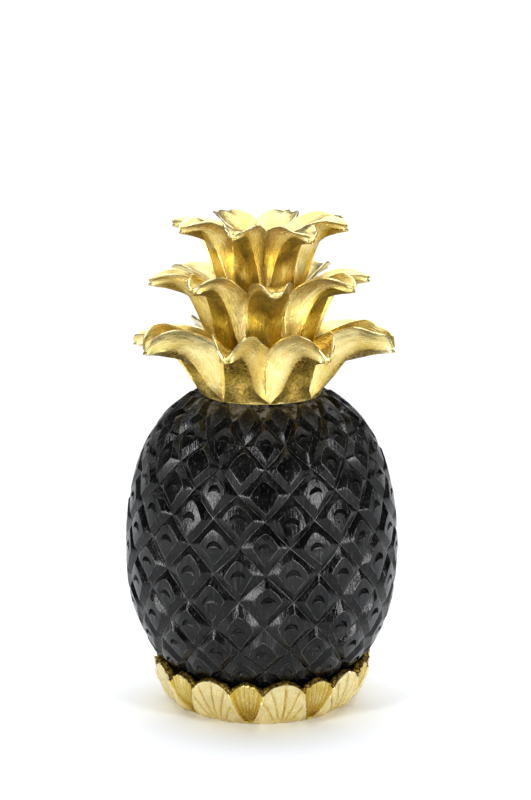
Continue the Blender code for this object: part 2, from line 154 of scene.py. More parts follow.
# Shares of a leaf's length over which it comes free of its neighbours, the look of its foot fades, the
# painted shade under its tip sets in and ends, and the painted highlight on its edge sets in
COMES_FREE = (0.15, 0.45)
FOOT_LOOK_FADES = (0.25, 0.75)
TIP_SHADE_FADE = 0.32
TIP_SHADE_ENDS = (0.62, 0.90)
EDGE_HIGHLIGHT_STARTS = (0.30, 0.45)
FOOT_BLEND = 0.06
# How far a leaf's flank and inside are hollowed and its edge is rounded, in mm, and what share of the
# flank's hollow is left at its foot
FLANK_HOLLOW = 0.75
FLANK_HOLLOW_AT_FOOT = 0.4
EDGE_ROUNDING = 0.45
INSIDE_HOLLOW = 0.5
LEAF_LUMPS = [(0.30, 8.0, 0), (0.10, 2.6, 50)]
RECESS_LUMPS = [(0.22, 1.3, 90)]
# Brush strokes: widths in mm of a leaf's recess, flank, edge and inside, a leaf's length, and how far
# the strokes of one leaf are shifted from the last one's
STROKE_WIDTHS = [5.0, 12.0, 1.2, 12.0]
STROKE_LENGTH = 60.0
STROKE_SHIFT = 40.0
# How much finer the strokes of a round piece are than a leaf's, across and along
UPRIGHT_STROKES = (0.55, 2.2)

# Leaf cup: outline of its outside as (radius, height), and its inside and rim
CUP_OUTLINE = [(39.5, 0.0), (43.4, 2.2), (46.8, 6.0), (49.6, 12.0), (51.2, 18.6)]
CUP_FLOOR = (34.0, 10.0)
CUP_INSIDE = (44.2, 14.2)
RIM_FLARE = 0.4
LEAF_PAIRS = 9
SMALL_LEAF_AZIMUTH = -8.0
RIM_NOTCH_Z = 19.8
BROAD_PEAK_Z = 23.9
SMALL_PEAK_Z = 23.3
SMALL_LEAF_SHARE = 0.44
CUP_COLUMNS_PER_PAIR = 112
CUP_ROWS = 40
CUP_ARCH_POWER = 1.6
# How far below the wall's top the gold leaves end, at a leaf's middle and beside a notch
GOLD_BELOW_RIM = (0.7, 2.6)
# The wall above a gold leaf's edge, and its top: mm inwards, share of the way up from the gold edge to the
# top, mm upwards, ochre painted shade, brown painted shade and soil, and painted highlight
RIM_ROWS = [(0.30, 0.0, 0.30, 0.0, 0.0, 1.0), (0.65, 0.0, 0.25, 0.3, 0.3, 0.3),
            (0.85, 0.0, 0.05, 1.0, 1.3, 0.0), (1.0, 0.5, 0.0, 1.0, 1.3, 0.0), (1.3, 1.0, -0.3, 1.0, 1.1, 0.0),
            (2.0, 1.0, 0.1, 1.0, 1.1, 0.0), (2.8, 1.0, 0.3, 1.0, 1.2, 0.0), (3.6, 1.0, 0.1, 1.0, 1.4, 0.0),
            (4.1, 1.0, -0.6, 1.0, 1.5, 0.0)]
# A gap in the wall's top at the left: its azimuth and half-width in degrees, and its depth in mm
RIM_GAP = (-94.0, 6.0, 3.4)
INSIDE_ROWS = 4
# Small leaf: where up the wall it starts and how it widens, its relief in mm, and the shares of the wall
# over which it opens, sinks in, rises again and gets its pleats
FAN_START = 0.04
FAN_WIDENING = 0.7
FAN_RISE = 0.8
FAN_RECESS = 1.7
FAN_SIDE_DROP = 0.7
FAN_PLEATS = 3.0
PLEAT_DEPTH = 0.8
FAN_OPENS = (0.35, 0.75)
FAN_SINKS = (0.03, 0.20)
FAN_RISES = (0.15, 0.75)
PLEATS_START = (0.1, 0.4)
# Ochre painted shade on a small leaf: at its foot, how much less where it is open, how much more in a pleat
FAN_SHADE = (1.1, 1.2, 0.7)
# Brown painted shade at a small leaf's foot
FAN_FOOT_SHADE = 0.6
# Broad leaf, in mm: its bulge and how far in from its edge that is reached, and the rise, place and
# width of its raised edge and of the rib beside its middle vein
BROAD_BULGE = 0.9
BULGE_REACH = 6.0
LIP_RISE = 0.8
LIP_PLACE = 0.6
LIP_WIDTH = 0.6
RIB_RISE = 0.5
RIB_PLACE = 1.1
RIB_WIDTH = 0.7
# Veins of a broad leaf: where they leave its middle at the foot, and how far they lean out, in mm
VEINS = [(0.0, 0.4), (-1.2, -6.0), (1.2, 6.4), (-3.6, -9.0), (4.0, 8.6)]
VEIN_WIDTH = 0.8
VEIN_DEPTH = 0.75
VEIN_SWEEP = 1.5
VEIN_BEND = 0.9
# Painted highlight on a broad leaf: its width along the raised edge, how much its face gets, and where up the
# wall it sets in
LIP_HIGHLIGHT_WIDTH = 0.5
FACE_HIGHLIGHT = 0.78
HIGHLIGHT_STARTS = (0.1, 0.5)
CUP_LUMPS = [(0.20, 5.0, 31), (0.10, 1.7, 32)]
RIM_LUMPS = [(0.30, 1.1, 34)]
RIM_WANDER = [(0.55, 3.2, 33)]
RIM_RAGGED = [(0.45, 1.2, 35)]
RIM_WANDER_ROWS = 12.0
RIM_GAP_ROWS = 16.0

# Studio: width of the floor in m, and the lights
FLOOR_SIZE = 80.0
WORLD_STRENGTH = 0.06
SUN_STRENGTH = 3.75
SUN_WIDTH = 80.0
SUN_TILT = -23.0
SOFTBOX_PLACE = (0.85, -0.80, 0.29)
SOFTBOX_SIZE = (0.22, 0.50)
SOFTBOX_POWER = 12.5


def smoothstep(low, high, value):
    """Rises from 0 at low to 1 at high with flat ends."""
    t = np.clip((value - low) / (high - low), 0.0, 1.0)
    return t * t * (3.0 - 2.0 * t)


def curve_through(points, t):
    """Places at t (0 to 1) on a Catmull-Rom curve through points of any dimension."""
    knots = np.asarray(points, float)
    knots = np.vstack([2.0 * knots[0] - knots[1], knots, 2.0 * knots[-1] - knots[-2]])
    spans = len(knots) - 3
    position = np.clip(np.asarray(t, float), 0.0, 1.0) * spans
    k = np.minimum(position.astype(int), spans - 1)
    f = (position - k)[:, None]
    a, b, c, d = knots[k], knots[k + 1], knots[k + 2], knots[k + 3]
    return 0.5 * (2.0 * b + (c - a) * f + (2.0 * a - 5.0 * b + 4.0 * c - d) * f ** 2
                  + (3.0 * b - a - 3.0 * c + d) * f ** 3)


def noise_at(points, size, seed):
    """Smooth noise from about -1 to 1 at points in mm, with lumps of that size in mm."""
    shift = Vector((seed * 17.3, seed * 5.1, seed * 9.7))
    return np.array([noise.noise(Vector(point) / size + shift) for point in points])


def lumps(points, kinds, seed=0):
    """Unevenness in mm at points, summed over (height, size of the lumps, seed)."""
    return sum(height * noise_at(points, size, seed + own_seed) for height, size, own_seed in kinds)


def raised_line(distance, width):
    """Rounded ridge: 1 along its line, fading to 0 a few widths from it."""
    return np.exp(-(distance / width) ** 2)


def new_piece(name, points, faces, values=None):
    """Smooth-shaded mesh object from points in mm, with named values at its points."""
    mesh = bpy.data.meshes.new(name)
    mesh.from_pydata((np.asarray(points) * MM).tolist(), [], faces)
    for value_name, numbers in (values or {}).items():
        attribute = mesh.attributes.new(value_name, "FLOAT", "POINT")
        attribute.data.foreach_set("value", np.asarray(numbers, np.float32))
    mesh.validate()
    piece = bpy.data.objects.new(name, mesh)
    bpy.context.scene.collection.objects.link(piece)
    return piece


def face_outwards(piece):
    builder = bmesh.new()
    builder.from_mesh(piece.data)
    bmesh.ops.recalc_face_normals(builder, faces=builder.faces)
    builder.to_mesh(piece.data)
    builder.free()


def finish_piece(piece, node, material, sharp_angle):
    """Shades the piece, gives it its material and puts it in the place of its CAD node."""
    piece.data.materials.clear()
    piece.data.materials.append(material)
    piece.data.shade_smooth()
    piece.data.set_sharp_from_angle(angle=radians(sharp_angle))
    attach(piece, "root")
    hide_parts(node)


class Nodes:
    """Short calls for making a material's nodes."""

    def __init__(self, name):
        self.material = bpy.data.materials.new(name)
        self.material.use_nodes = True
        self.tree = self.material.node_tree
        self.shader = self.tree.nodes["Principled BSDF"]
        self.place = self.tree.nodes.new("ShaderNodeTexCoord").outputs["Object"]

    def link(self, output, target):
        self.tree.links.new(output, target)

    def feed(self, target, value):
        """Links an output to a socket, or sets a plain value on it."""
        if isinstance(value, bpy.types.NodeSocket):
            self.link(value, target)
        else:
            target.default_value = value

    def stretched(self, scale):
        """Object coordinates scaled by a factor along each axis."""
        mapping = self.tree.nodes.new("ShaderNodeMapping")
        mapping.inputs["Scale"].default_value = scale
        self.link(self.place, mapping.inputs["Vector"])
        return mapping.outputs["Vector"]

    def strokes(self, across, along):
        """Coordinates that run with the brush strokes, stirred a little by smooth noise."""
        combined = self.tree.nodes.new("ShaderNodeCombineXYZ")
        self.link(self.maths("MULTIPLY", self.value("stroke_across"), across), combined.inputs["X"])
        self.link(self.maths("MULTIPLY", self.value("stroke_along"), along), combined.inputs["Y"])
        self.link(self.maths("MULTIPLY", self.noise(self.place, 140.0, 2.0), 3.0), combined.inputs["Z"])
        return combined.outputs["Vector"]

    def noise(self, vector, scale, detail=4.0, roughness=0.55, distortion=0.0):
        made = self.tree.nodes.new("ShaderNodeTexNoise")
        self.link(vector, made.inputs["Vector"])
        made.inputs["Scale"].default_value = scale
        made.inputs["Detail"].default_value = detail
        made.inputs["Roughness"].default_value = roughness
        made.inputs["Distortion"].default_value = distortion
        return made.outputs["Fac"]

    def spots(self, scale):
        made = self.tree.nodes.new("ShaderNodeTexVoronoi")
        self.link(self.place, made.inputs["Vector"])
        made.inputs["Scale"].default_value = scale
        return made.outputs["Distance"]

    def value(self, name):
        made = self.tree.nodes.new("ShaderNodeAttribute")
        made.attribute_name = name
        return made.outputs["Fac"]

    def ramp(self, value, low, high, out_low=0.0, out_high=1.0):
        """Maps low..high to out_low..out_high, held at both ends."""
        made = self.tree.nodes.new("ShaderNodeMapRange")
        self.feed(made.inputs["Value"], value)
        made.inputs["From Min"].default_value = low
        made.inputs["From Max"].default_value = high
        made.inputs["To Min"].default_value = out_low
        made.inputs["To Max"].default_value = out_high
        return made.outputs["Result"]

    def maths(self, operation, first, second):
        made = self.tree.nodes.new("ShaderNodeMath")
        made.operation = operation
        self.feed(made.inputs[0], first)
        self.feed(made.inputs[1], second)
        return made.outputs["Value"]

    def mix(self, factor, first, second):
        made = self.tree.nodes.new("ShaderNodeMix")
        made.data_type = "RGBA"
        self.feed(made.inputs["Factor"], factor)
        for socket, value in (("A", first), ("B", second)):
            target = [s for s in made.inputs if s.name == socket and s.type == "RGBA"][0]
            self.feed(target, value)
        return [s for s in made.outputs if s.type == "RGBA"][0]

    def bump(self, height, distance, strength, normal=None):
        made = self.tree.nodes.new("ShaderNodeBump")
        self.link(height, made.inputs["Height"])
        made.inputs["Distance"].default_value = distance
        made.inputs["Strength"].default_value = strength
        if normal is not None:
            self.link(normal, made.inputs["Normal"])
        return made.outputs["Normal"]


def rgb(red, green, blue):
    return (red, green, blue, 1.0)


def gold_paint():
    """Brushed champagne gold paint with pinholes, ochre and brown painted shade in recesses and under leaf
    tips, and a pale painted highlight along edges.
    """
    n = Nodes("gold_paint")
    fine = n.noise(n.strokes(1.5, 0.16), 1.0, 3.0, 0.65)
    wide = n.noise(n.strokes(0.45, 0.09), 1.0, 3.0, 0.6, 0.4)
    patches = n.noise(n.place, 55.0, 3.0, 0.55, 0.6)
    grain = n.noise(n.place, 800.0, 3.0, 0.65)
    recess_shade = n.value("recess_shade")
    shade_and_soil = n.value("shade_and_soil")
    painted_highlight = n.value("painted_highlight")
    pale = rgb(0.80, 0.67, 0.30)
    plain = rgb(0.58, 0.445, 0.145)
    ochre = rgb(0.54, 0.355, 0.022)
    brown = rgb(0.060, 0.030, 0.008)
    colour = n.mix(n.ramp(patches, 0.36, 0.64), plain, pale)
    colour = n.mix(n.ramp(wide, 0.44, 0.62, 0.0, 0.4), colour, ochre)
    colour = n.mix(n.ramp(fine, 0.50, 0.72, 0.0, 0.6), colour, pale)
    # Ochre painted shade in recesses
    colour = n.mix(n.ramp(recess_shade, 0.1, 0.9, 0.0, 0.85), colour, ochre)
    scratch = n.ramp(fine, 0.36, 0.28, 0.0, 0.35)
    colour = n.mix(scratch, colour, brown)
    speckle = n.ramp(grain, 0.40, 0.60, 0.40, 1.1)
    # Brown painted shade under leaf tips, at leaf feet, on the stub and inside the cup, and brown on the top
    # of the cup's wall, mottled by the grain
    colour = n.mix(n.maths("MULTIPLY", n.ramp(shade_and_soil, 0.0, 1.6, 0.0, 1.45), speckle), colour, brown)
    # Pale painted highlight along leaf edges and on the cup's raised leaves
    colour = n.mix(n.ramp(painted_highlight, 0.3, 1.0, 0.0, 0.6), colour, rgb(0.92, 0.83, 0.50))
    pinhole = n.ramp(n.spots(60.0), 0.026, 0.016)
    colour = n.mix(pinhole, colour, rgb(0.05, 0.03, 0.01))
    n.feed(n.shader.inputs["Base Color"], colour)
    n.shader.inputs["Metallic"].default_value = 0.9
    n.shader.inputs["IOR"].default_value = 1.5
    polish = n.ramp(fine, 0.3, 0.7, 0.38, 0.20)
    n.feed(n.shader.inputs["Roughness"], n.maths("ADD", polish, n.ramp(shade_and_soil, 0.2, 1.0, 0.0, 0.3)))
    normal = n.bump(wide, 0.0006, 0.4)
    normal = n.bump(fine, 0.0002, 0.5, normal)
    normal = n.bump(grain, 0.00012, 0.25, normal)
    normal = n.bump(pinhole, -0.0004, 0.6, normal)
    n.feed(n.shader.inputs["Normal"], normal)
    return n.material


def black_lacquer():
    """Glossy black paint with upright brush scratches, a grey painted highlight along some ridges and
    grooves, and darker painted shade in the gouges.
    """
    n = Nodes("black_lacquer")
    scratches = n.noise(n.stretched((1.0, 1.0, 0.06)), 900.0, 3.0, 0.7)
    broad = n.noise(n.stretched((1.0, 1.0, 0.3)), 320.0, 3.0, 0.6)
    smudges = n.noise(n.place, 60.0, 3.0, 0.6, 0.5)
    ridge = n.value("ridge")
    gouge = n.value("gouge")
    colour = n.mix(n.ramp(smudges, 0.44, 0.64), rgb(0.001, 0.001, 0.001), rgb(0.007, 0.0067, 0.0063))
    colour = n.mix(n.ramp(scratches, 0.56, 0.72, 0.0, 0.5), colour, rgb(0.045, 0.043, 0.04))
    # Grey painted highlight along some ridges and grooves
    highlight_share = n.maths("MULTIPLY", n.ramp(ridge, 0.3, 1.0), n.ramp(broad, 0.42, 0.60))
    colour = n.mix(n.maths("MULTIPLY", highlight_share, 0.8), colour, rgb(0.15, 0.145, 0.135))
    # Darker painted shade in the gouges
    colour = n.mix(gouge, colour, rgb(0.0005, 0.0005, 0.0005))
    n.feed(n.shader.inputs["Base Color"], colour)
    n.shader.inputs["Metallic"].default_value = 0.0
    n.shader.inputs["IOR"].default_value = 1.5
    n.shader.inputs["Specular IOR Level"].default_value = 0.20
    polish = n.ramp(scratches, 0.35, 0.68, 0.09, 0.30)
    n.feed(n.shader.inputs["Roughness"], n.maths("ADD", polish, n.ramp(gouge, 0.0, 1.0, 0.0, 0.45)))
    normal = n.bump(scratches, 0.00024, 0.8)
    normal = n.bump(broad, 0.0004, 0.45, normal)
    n.feed(n.shader.inputs["Normal"], normal)
    return n.material


class FruitSurface:
    """Maps places in the lattice (columns around, rows up) and relief heights to points in mm."""

    def __init__(self):
        walk = curve_through(FRUIT_OUTLINE, np.linspace(0.0, 1.0, OUTLINE_STEPS + 1))
        along = np.gradient(walk, axis=0)
        along /= np.linalg.norm(along, axis=1)[:, None]
        steps = np.linalg.norm(np.diff(walk, axis=0), axis=1)
        self.walk = walk
        self.outward = np.stack([along[:, 1], -along[:, 0]], axis=1)
        self.lengths = np.concatenate([[0.0], np.cumsum(steps)])
        self.middle_length = self.lengths[np.argmin(np.abs(walk[:, 1] - WIDEST_Z))]

    def points(self, column, row, height):
        """Points in mm of places in the lattice, raised by height where the relief doesn't fade."""
        turns = column * pi / CELLS_AROUND
        wander = [sum(size * np.sin(around * turns + upwards * row + phase)
                      for size, around, upwards, phase in waves) for waves in (COLUMN_WAVES, ROW_WAVES)]
        column, row = column + wander[0], row + wander[1]
        share = np.minimum(np.abs(row) / ROWS_TO_END, 1.0)
        spacing = HALF_ROW_MIDDLE + (HALF_ROW_END - HALF_ROW_MIDDLE) * share * 0.5
        length = np.clip(self.middle_length + row * spacing, 0.0, self.lengths[-1])
        radius, z = (np.interp(length, self.lengths, self.walk[:, k]) for k in (0, 1))
        out_r, out_z = (np.interp(length, self.lengths, self.outward[:, k]) for k in (0, 1))
        height = height * smoothstep(*SHOULDER_FADE_RADIUS, radius) * smoothstep(*FOOT_FADE_Z, z)
        radius, z = radius + out_r * height, z + out_z * height
        angle = FRONT + column * pi / CELLS_AROUND + LATTICE_TURN
        return np.stack([radius * np.cos(angle), radius * np.sin(angle), z], axis=1)


class CellTemplate:
    """One diamond as flat points and triangles: rings up the bevels, the flat and its crescent."""

    def __init__(self):
        corners = np.array([(-1.0, 0.0), (0.0, 1.0), (1.0, 0.0), (0.0, -1.0)])
        self.border = []
        for a, b in zip(corners, np.roll(corners, -1, axis=0)):
            self.border += [a + (b - a) * k / BORDER_STEPS for k in range(BORDER_STEPS)]
        self.border = np.array(self.border)
        self.flat = np.array([self.flat_edge(point) for point in self.border])
        count = len(self.border)
        self.rows = []
        edges = []
        for level, (share, height) in enumerate(BEVEL_LEVELS):
            for k in range(count):
                self.rows.append((self.border[k], self.flat[k], share, height, 0.0))
                edges.append((level * count + k, level * count + (k + 1) % count))
        inner = len(self.rows)
        for k in range(count):
            self.rows.append((self.border[k], self.flat[k] * RIDGE_INSET, 1.0, 1.0, 0.0))
            edges.append((inner + k, inner + (k + 1) % count))
        edges += self.add_crescent()
        self.add_filling()
        places = [Vector(b * (1.0 - s) + f * s) for b, f, s, _, _ in self.rows]
        made = delaunay_2d_cdt(places, edges, [], 0, 1e-7)
        originals = [found[0] for found in made[3]]
        self.triangles = []
        for face in made[2]:
            numbers = [originals[k] for k in face]
            start = numbers.index(min(numbers))
            # A triangle between three points of the border is a sliver along one of its straight sides
            if len(set(numbers)) == 3 and max(numbers) >= count:
                self.triangles.append(numbers[start:] + numbers[:start])
        self.triangles.sort()

    @staticmethod
    def flat_edge(point):
        """Edge of the flat in the direction of a point on the border: a kite with a rounded top."""
        u, v = point
        if v >= 0.0:
            power = 1.35
            scale = (abs(u) / FLAT_SIDE) ** power + (abs(v) / FLAT_TOP) ** power
            return np.array(point) / scale ** (1.0 / power)
        scale = abs(u) / FLAT_SIDE + abs(v) / FLAT_FOOT
        return np.array(point) / scale

    def arc(self, peak, steps, depth, width):
        """Adds an arched line across the crescent and returns its points' numbers."""
        first = len(self.rows)
        for k in range(1, steps):
            x = cos(pi * (1.0 - k / steps))
            rise = (1.0 - x * x) ** 0.5
            place = np.array((x * width, CRESCENT_HORN + (peak - CRESCENT_HORN) * rise))
            self.rows.append((place, place, 1.0, 1.0, depth * rise ** 0.7))
        return list(range(first, len(self.rows)))

    def add_crescent(self):
        """Gouge with a steep upper side and a gentler lower side, tapering to two horns."""
        horns = []
        for side in (-1.0, 1.0):
            place = np.array((side * CRESCENT_HALF_WIDTH, CRESCENT_HORN))
            horns.append(len(self.rows))
            self.rows.append((place, place, 1.0, 1.0, 0.0))
        edges = []
        for peak, depth, width in CRESCENT_ARCS:
            arc = self.arc(peak, CRESCENT_STEPS, depth * CRESCENT_DEPTH, width * CRESCENT_HALF_WIDTH)
            line = [horns[0]] + arc + [horns[1]]
            edges += list(zip(line, line[1:]))
        return edges

    def add_filling(self):
        """Loose points over the flat, clear of the crescent and of the ridge."""
        width, height = FILLING_REACH
        beside, above = FILLING_CLEARANCE
        for v in np.arange(-height, height + 0.01, FILLING_STEP):
            for u in np.arange(-width, width + 0.01, FILLING_STEP):
                reach = abs(u) / FLAT_SIDE + abs(v) / (FLAT_TOP if v > 0 else FLAT_FOOT)
                clear = (v > CRESCENT_ARCS[0][0] + above or v < CRESCENT_HORN - above
                         or abs(u) > CRESCENT_HALF_WIDTH + beside)
                if reach < FILLING_SHARE and clear:
                    place = np.array((u, v))
                    self.rows.append((place, place, 1.0, 1.0, 0.0))


def build_fruit(material):
    """Barrel carved in a lattice of diamonds, each a little different, as cut by hand."""
    surface = FruitSurface()
    cell = CellTemplate()
    border = np.array([row[0] for row in cell.rows])
    flat = np.array([row[1] for row in cell.rows])
    share = np.array([row[2] for row in cell.rows])
    level = np.array([row[3] for row in cell.rows])
    depth = np.array([row[4] for row in cell.rows])
    rim = len(cell.border)
    in_crescent = depth > 0.0
    # Grey painted highlight on the groove line and along each flat's ridge
    highlight = np.zeros(len(cell.rows))
    for ring, amount in enumerate(RING_HIGHLIGHT):
        highlight[ring * rim:(ring + 1) * rim] = amount
    columns = 2 * CELLS_AROUND
    first, last = -ROWS_BELOW, ROWS_ABOVE
    shared, lattice, triangles = {}, [], []

    def border_point(column, row, place):
        """Number of a point on a groove, which the two diamonds beside it share."""
        u, v = column + place[0], row + place[1]
        key = (round(u * BORDER_STEPS) % (columns * BORDER_STEPS), round(v * BORDER_STEPS))
        if key not in shared:
            shared[key] = len(lattice)
            lattice.append((u, v, 0.0, RING_HIGHLIGHT[0], 0.0))
        return shared[key]

    randoms = np.random.default_rng(7)
    for row in range(first, last + 1):
        for column in range(columns):
            if (column + row) % 2 == 0:
                continue
            draw = randoms.normal(size=len(CELL_SPREAD)) * CELL_SPREAD
            centre = draw[0:2]
            size = 1.0 + draw[2:4]
            turned = draw[4]
            swing = np.array(((cos(turned), -sin(turned)), (sin(turned), cos(turned))))
            inner = (flat * size) @ swing.T + centre
            crescent = flat * (1.0 + draw[5]) @ swing.T + centre + draw[6:8]
            inner = np.where(in_crescent[:, None], crescent, inner)
            place = border * (1.0 - share[:, None]) + inner * share[:, None]
            tilt = place @ draw[8:10]
            height = FLAT_HEIGHT * level * (1.0 + draw[10]) + tilt * share
            gouged = first + 1 < row < last
            height = height - depth * (1.0 + draw[11]) * (1.0 if gouged else 0.0)
            numbers = [border_point(column, row, p) for p in cell.border]
            start = len(lattice)
            for k in range(rim, len(cell.rows)):
                numbers.append(start + k - rim)
                lattice.append((column + place[k, 0], row + place[k, 1], height[k], highlight[k],
                                1.0 if in_crescent[k] else 0.0))
            triangles += [[numbers[a] for a in t] for t in cell.triangles]
    lattice = np.array(lattice)
    spots = surface.points(lattice[:, 0], lattice[:, 1], np.zeros(len(lattice)))
    lowest, highest = RELIEF_LIMITS
    heights = np.minimum(lattice[:, 2], highest) + lumps(spots, FRUIT_LUMPS) - RELIEF_SINK
    heights = np.clip(heights, lowest, highest)
    points = surface.points(lattice[:, 0], lattice[:, 1], heights)
    faces = triangles + close_fruit_ends(shared, first, last)
    values = {"ridge": lattice[:, 3], "gouge": lattice[:, 4]}
    fruit = new_piece("black_fruit", points, faces, values)
    face_outwards(fruit)
    finish_piece(fruit, "fruit_body", material, 48.0)
    return fruit


def close_fruit_ends(shared, first, last):
    """Faces that fill the notches between the last diamonds and close both ends."""
    columns = 2 * CELLS_AROUND
    turn = columns * BORDER_STEPS
    faces = []
    for inner_row, end_row in ((first, first - 1), (last, last + 1)):
        starts = [c for c in range(columns) if (c + end_row) % 2 == 0]
        step = 1 if inner_row > end_row else -1
        for column in starts:
            notch = []
            for k in range(2 * BORDER_STEPS + 1):
                depth = BORDER_STEPS - abs(k - BORDER_STEPS)
                key = ((column * BORDER_STEPS + k) % turn, end_row * BORDER_STEPS + step * depth)
                notch.append(shared[key])
            faces.append(notch)
        faces.append([shared[((c * BORDER_STEPS) % turn, end_row * BORDER_STEPS)] for c in starts])
    return faces


def leaf_lines(tier, leaf):
    """Centre, crease, margin and inside of a leaf from foot to tip, as (reach, [width,] height)."""
    _, reach, lift, droop, _ = leaf
    foot_r, foot_z = tier["foot"]
    notch_r, notch_z = tier["notch"]
    half = tier["half"]
    crest = tier["crest"] + lift
    tip = tier["tip"] + TIP_LIFT_SHARE * lift - droop
    rise, run, fall = tip - foot_z, reach - foot_r, crest - tip
    centre = [(foot_r + a * run + b, 0.0, foot_z + c * rise + d) for a, b, c, d in CENTRE_LINE]
    inside = [(foot_r + a * run + b, 0.0, foot_z + c * rise + d) for a, b, c, d in INSIDE_LINE]
    crease = [(foot_r + a * run, b * half, foot_z + c * rise + d) for a, b, c, d in CREASE_LINE]
    start_out, start_share = MARGIN_START
    margin = [(notch_r + start_out, half, notch_z + start_share * (crest - notch_z))]
    margin += [(foot_r + a * run, b * half, crest - c * fall) for a, b, c in MARGIN_LINE]
    end_in, end_width, end_up = MARGIN_END
    margin.append((reach - end_in, end_width, tip + end_up))
    out, width, height = margin[2]
    margin[2] = (out, width, height - DROOP_AT_THIRD_LAST * droop)
    return centre, crease, margin, inside


def side_lines(tier, lines, half_angle, tuck, trough):
    """Crease, outer margin and inner margin of one side of a leaf at its stations."""
    foot_r, foot_z = tier["foot"]
    notch_r, notch_z = tier["notch"]
    foot_angle = FOOT_CREASE_SHARE * half_angle
    creases = [(foot_r * cos(foot_angle), foot_r * sin(foot_angle), foot_z)] + lines[1]
    outers, inners = [], []
    for station in range(FREE_STATION):
        share = station / NOTCH_STATION
        radius = foot_r + (notch_r - foot_r) * share - tuck
        height = foot_z + (notch_z - foot_z) * share
        inner_radius = radius - WALL_THICKNESS
        outers.append((radius * cos(half_angle), radius * sin(half_angle), height))
        inners.append((inner_radius * cos(half_angle), inner_radius * sin(half_angle), height))
    for out, width, height in lines[2]:
        thickness = min(EDGE_THICKNESS, 0.6 * width)
        outers.append((out, width, height))
        inners.append((out - EDGE_LEAN[0], width - thickness, height + EDGE_LEAN[1]))
    moved = trough * np.array(TROUGH_REACH)[:, None]
    creases = np.array(creases) * (1.0 - moved) + np.array(outers) * moved
    return creases, outers, inners


def leaf_points(tier, leaf, left_gap, right_gap):
    """Grid of points of a leaf, stations along by places around its section, with their values."""
    lines = leaf_lines(tier, leaf)
    t = np.linspace(0.0, 1.0, LEAF_STATIONS)
    centre, inside = curve_through(lines[0], t), curve_through(lines[3], t)
    sides = []
    for gap, (extra, tuck), side in ((right_gap, UNDER_SIDE, 1.0), (left_gap, OVER_SIDE, -1.0)):
        half_angle = radians(0.5 * gap + extra)
        made = [curve_through(line, t) for line in side_lines(tier, lines, half_angle, tuck, leaf[4])]
        sides.append([line * np.array((1.0, side, 1.0)) for line in made])
    right, left = sides
    path = [centre, right[0], right[1], right[2], inside, left[2], left[1], left[0], centre]
    counts = [ACROSS_RECESS, ACROSS_FLANK, ACROSS_EDGE, ACROSS_INSIDE]
    counts = counts + counts[::-1]
    spreads = np.cumsum([0.0] + STROKE_WIDTHS)
    rings, across = [], []
    for part, (a, b, count) in enumerate(zip(path, path[1:], counts)):
        kind = min(part, 7 - part)
        for k in range(count):
            f = k / count
            rings.append(a * (1.0 - f) + b * f)
            out = f if part < 4 else 1.0 - f
            stroke = spreads[kind] + out * STROKE_WIDTHS[kind]
            across.append((kind, sin(pi * f), out, stroke))
    return np.stack(rings, axis=1), t, across


def leaf_values(t, across, seed, tier):
    """How much ochre painted shade, brown painted shade and painted highlight each point of a leaf gets, and
    its place in the brush strokes."""
    low = 1.0 - smoothstep(*FOOT_LOOK_FADES, t)
    start = tier["tip_shade_start"]
    under_tip = smoothstep(start, start + TIP_SHADE_FADE, t) * (1.0 - smoothstep(*TIP_SHADE_ENDS, t))
    recess_shade, shade_and_soil, painted_highlight = [], [], []
    for kind, arch, out, _ in across:
        crease = max(0.0, 1.0 - 2.5 * out) if kind == FLANK else 0.0
        recess_shade.append((1.0, 0.55 * crease, 0.0, 0.10 + 0.15 * arch)[kind])
        shade_and_soil.append((1.0, 0.7 * crease ** 1.5, 0.0, 0.10)[kind])
        painted_highlight.append(1.0 if kind == EDGE else 0.0)
    stroke = np.array([row[3] for row in across])
    # Ochre and brown painted shade, strongest at the foot and under the tip
    ochre_shade = 0.35 + tier["foot_ochre_shade"] * low + 0.4 * under_tip
    brown_shade = np.maximum(tier["foot_brown_shade"] * low, tier["tip_brown_shade"] * under_tip)
    return {"recess_shade": np.outer(ochre_shade, recess_shade).ravel(),
            "shade_and_soil": np.outer(brown_shade, shade_and_soil).ravel(),
            "painted_highlight": np.outer(smoothstep(*EDGE_HIGHLIGHT_STARTS, t), painted_highlight).ravel(),
            "stroke_across": np.tile(stroke + STROKE_SHIFT * seed, len(t)),
            "stroke_along": np.repeat(t * STROKE_LENGTH, len(across))}


def grid_normals(grid):
    """Outward directions of a tube of points: stations by places around."""
    along = np.gradient(grid, axis=0)
    around = np.roll(grid, -1, axis=1) - np.roll(grid, 1, axis=1)
    normals = np.cross(around, along)
    lengths = np.linalg.norm(normals, axis=2)[:, :, None]
    normals = normals / np.maximum(lengths, 1e-9)
    middle = grid.mean(axis=1)[:, None, :]
    outward = np.sign((normals * (grid - middle)).sum(axis=2).mean())
    return normals * outward


